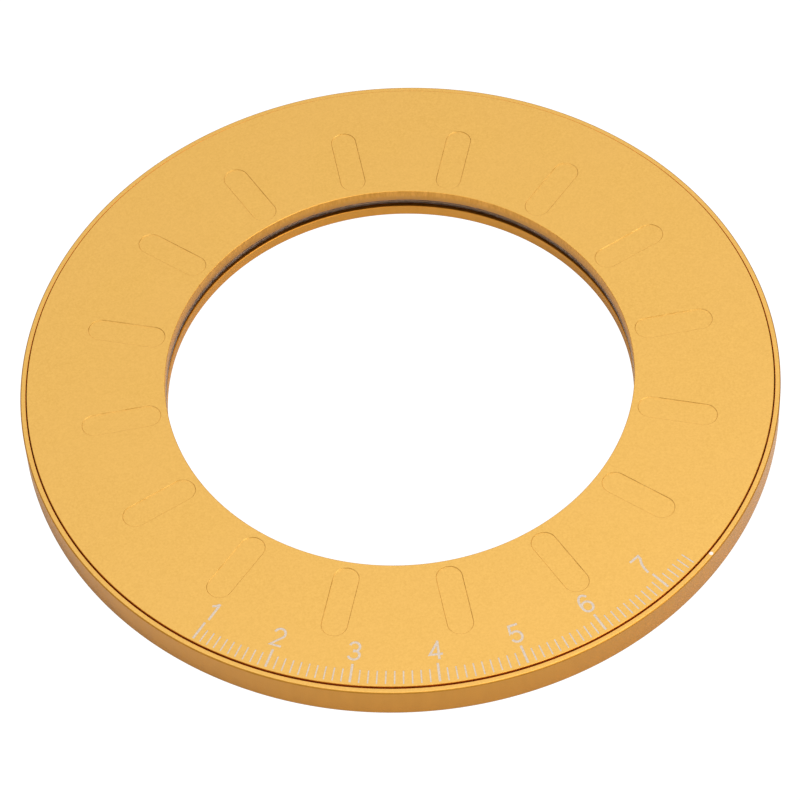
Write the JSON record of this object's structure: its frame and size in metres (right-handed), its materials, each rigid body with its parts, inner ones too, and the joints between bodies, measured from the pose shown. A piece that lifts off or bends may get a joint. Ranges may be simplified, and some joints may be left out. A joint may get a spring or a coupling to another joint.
{
  "type": "adjustable circle template",
  "caption": "Flat anodised ring for drawing circles: turning the scaled dial swings thin steel leaves that narrow the round opening to the diameter wanted.",
  "frame": {"origin": "centre of the flat underside, on the axis of the opening", "axes": "+Z along the dial's axis, out of its scaled face; the white index dot on the rim is 40 degrees clockwise of +X seen from above, and the digits next to it stand with their tops towards the middle"},
  "size_m": [0.124, 0.124, 0.006],
  "materials": {
    "anodised_gold": "gold anodised over fine bead blasting, satin",
    "leaf_steel": "thin rolled spring steel, satin",
    "pin_steel": "turned steel, bright",
    "spring_bronze": "drawn phosphor bronze spring wire, satin",
    "engraving": "laser-marked through the anodising to bare, pale metal",
    "white_paint": "white fill in a shallow drilled spot"
  },
  "bodies": {
    "base": {"base_tray": "anodised_gold", "retaining_ring": "spring_bronze"},
    "dial": {"dial_plate": "anodised_gold"},
    "leaf_01": {"leaf_01": "leaf_steel", "pivot_pin_01": "pin_steel", "drive_pin_01": "pin_steel"},
    "leaf_02": {"leaf_02": "leaf_steel", "pivot_pin_02": "pin_steel", "drive_pin_02": "pin_steel"},
    "leaf_03": {"leaf_03": "leaf_steel", "pivot_pin_03": "pin_steel", "drive_pin_03": "pin_steel"},
    "leaf_04": {"leaf_04": "leaf_steel", "pivot_pin_04": "pin_steel", "drive_pin_04": "pin_steel"},
    "leaf_05": {"leaf_05": "leaf_steel", "pivot_pin_05": "pin_steel", "drive_pin_05": "pin_steel"},
    "leaf_06": {"leaf_06": "leaf_steel", "pivot_pin_06": "pin_steel", "drive_pin_06": "pin_steel"},
    "leaf_07": {"leaf_07": "leaf_steel", "pivot_pin_07": "pin_steel", "drive_pin_07": "pin_steel"},
    "leaf_08": {"leaf_08": "leaf_steel", "pivot_pin_08": "pin_steel", "drive_pin_08": "pin_steel"},
    "leaf_09": {"leaf_09": "leaf_steel", "pivot_pin_09": "pin_steel", "drive_pin_09": "pin_steel"},
    "leaf_10": {"leaf_10": "leaf_steel", "pivot_pin_10": "pin_steel", "drive_pin_10": "pin_steel"},
    "leaf_11": {"leaf_11": "leaf_steel", "pivot_pin_11": "pin_steel", "drive_pin_11": "pin_steel"},
    "leaf_12": {"leaf_12": "leaf_steel", "pivot_pin_12": "pin_steel", "drive_pin_12": "pin_steel"},
    "leaf_13": {"leaf_13": "leaf_steel", "pivot_pin_13": "pin_steel", "drive_pin_13": "pin_steel"},
    "leaf_14": {"leaf_14": "leaf_steel", "pivot_pin_14": "pin_steel", "drive_pin_14": "pin_steel"},
    "leaf_15": {"leaf_15": "leaf_steel", "pivot_pin_15": "pin_steel", "drive_pin_15": "pin_steel"},
    "leaf_16": {"leaf_16": "leaf_steel", "pivot_pin_16": "pin_steel", "drive_pin_16": "pin_steel"}
  },
  "joints": [
    {"name": "dial_turn", "type": "hinge", "parent": "base", "child": "dial", "pos_m": [0, 0, 0], "axis": [0, 0, 1], "range_deg": [0, 85]},
    {"name": "leaf_01_swing", "type": "hinge", "parent": "base", "child": "leaf_01", "pos_m": [-0.02848, -0.03484, 0.002], "axis": [0, 0, 1], "range_deg": [0, 44]},
    {"name": "leaf_02_swing", "type": "hinge", "parent": "base", "child": "leaf_02", "pos_m": [-0.01297, -0.04309, 0.002], "axis": [0, 0, 1], "range_deg": [0, 44]},
    {"name": "leaf_03_swing", "type": "hinge", "parent": "base", "child": "leaf_03", "pos_m": [0.0045, -0.04477, 0.002], "axis": [0, 0, 1], "range_deg": [0, 44]},
    {"name": "leaf_04_swing", "type": "hinge", "parent": "base", "child": "leaf_04", "pos_m": [0.0213, -0.03964, 0.002], "axis": [0, 0, 1], "range_deg": [0, 44]},
    {"name": "leaf_05_swing", "type": "hinge", "parent": "base", "child": "leaf_05", "pos_m": [0.03484, -0.02848, 0.002], "axis": [0, 0, 1], "range_deg": [0, 44]},
    {"name": "leaf_06_swing", "type": "hinge", "parent": "base", "child": "leaf_06", "pos_m": [0.04309, -0.01297, 0.002], "axis": [0, 0, 1], "range_deg": [0, 44]},
    {"name": "leaf_07_swing", "type": "hinge", "parent": "base", "child": "leaf_07", "pos_m": [0.04477, 0.0045, 0.002], "axis": [0, 0, 1], "range_deg": [0, 44]},
    {"name": "leaf_08_swing", "type": "hinge", "parent": "base", "child": "leaf_08", "pos_m": [0.03964, 0.0213, 0.002], "axis": [0, 0, 1], "range_deg": [0, 44]},
    {"name": "leaf_09_swing", "type": "hinge", "parent": "base", "child": "leaf_09", "pos_m": [0.02848, 0.03484, 0.002], "axis": [0, 0, 1], "range_deg": [0, 44]},
    {"name": "leaf_10_swing", "type": "hinge", "parent": "base", "child": "leaf_10", "pos_m": [0.01297, 0.04309, 0.002], "axis": [0, 0, 1], "range_deg": [0, 44]},
    {"name": "leaf_11_swing", "type": "hinge", "parent": "base", "child": "leaf_11", "pos_m": [-0.0045, 0.04477, 0.002], "axis": [0, 0, 1], "range_deg": [0, 44]},
    {"name": "leaf_12_swing", "type": "hinge", "parent": "base", "child": "leaf_12", "pos_m": [-0.0213, 0.03964, 0.002], "axis": [0, 0, 1], "range_deg": [0, 44]},
    {"name": "leaf_13_swing", "type": "hinge", "parent": "base", "child": "leaf_13", "pos_m": [-0.03484, 0.02848, 0.002], "axis": [0, 0, 1], "range_deg": [0, 44]},
    {"name": "leaf_14_swing", "type": "hinge", "parent": "base", "child": "leaf_14", "pos_m": [-0.04309, 0.01297, 0.002], "axis": [0, 0, 1], "range_deg": [0, 44]},
    {"name": "leaf_15_swing", "type": "hinge", "parent": "base", "child": "leaf_15", "pos_m": [-0.04477, -0.0045, 0.002], "axis": [0, 0, 1], "range_deg": [0, 44]},
    {"name": "leaf_16_swing", "type": "hinge", "parent": "base", "child": "leaf_16", "pos_m": [-0.03964, -0.0213, 0.002], "axis": [0, 0, 1], "range_deg": [0, 44]}
  ],
  "couplings": [
    {"joint": "leaf_01_swing", "follows": "dial_turn", "ratio": 0.516},
    {"joint": "leaf_02_swing", "follows": "dial_turn", "ratio": 0.516},
    {"joint": "leaf_03_swing", "follows": "dial_turn", "ratio": 0.516},
    {"joint": "leaf_04_swing", "follows": "dial_turn", "ratio": 0.516},
    {"joint": "leaf_05_swing", "follows": "dial_turn", "ratio": 0.516},
    {"joint": "leaf_06_swing", "follows": "dial_turn", "ratio": 0.516},
    {"joint": "leaf_07_swing", "follows": "dial_turn", "ratio": 0.516},
    {"joint": "leaf_08_swing", "follows": "dial_turn", "ratio": 0.516},
    {"joint": "leaf_09_swing", "follows": "dial_turn", "ratio": 0.516},
    {"joint": "leaf_10_swing", "follows": "dial_turn", "ratio": 0.516},
    {"joint": "leaf_11_swing", "follows": "dial_turn", "ratio": 0.516},
    {"joint": "leaf_12_swing", "follows": "dial_turn", "ratio": 0.516},
    {"joint": "leaf_13_swing", "follows": "dial_turn", "ratio": 0.516},
    {"joint": "leaf_14_swing", "follows": "dial_turn", "ratio": 0.516},
    {"joint": "leaf_15_swing", "follows": "dial_turn", "ratio": 0.516},
    {"joint": "leaf_16_swing", "follows": "dial_turn", "ratio": 0.516}
  ]
}
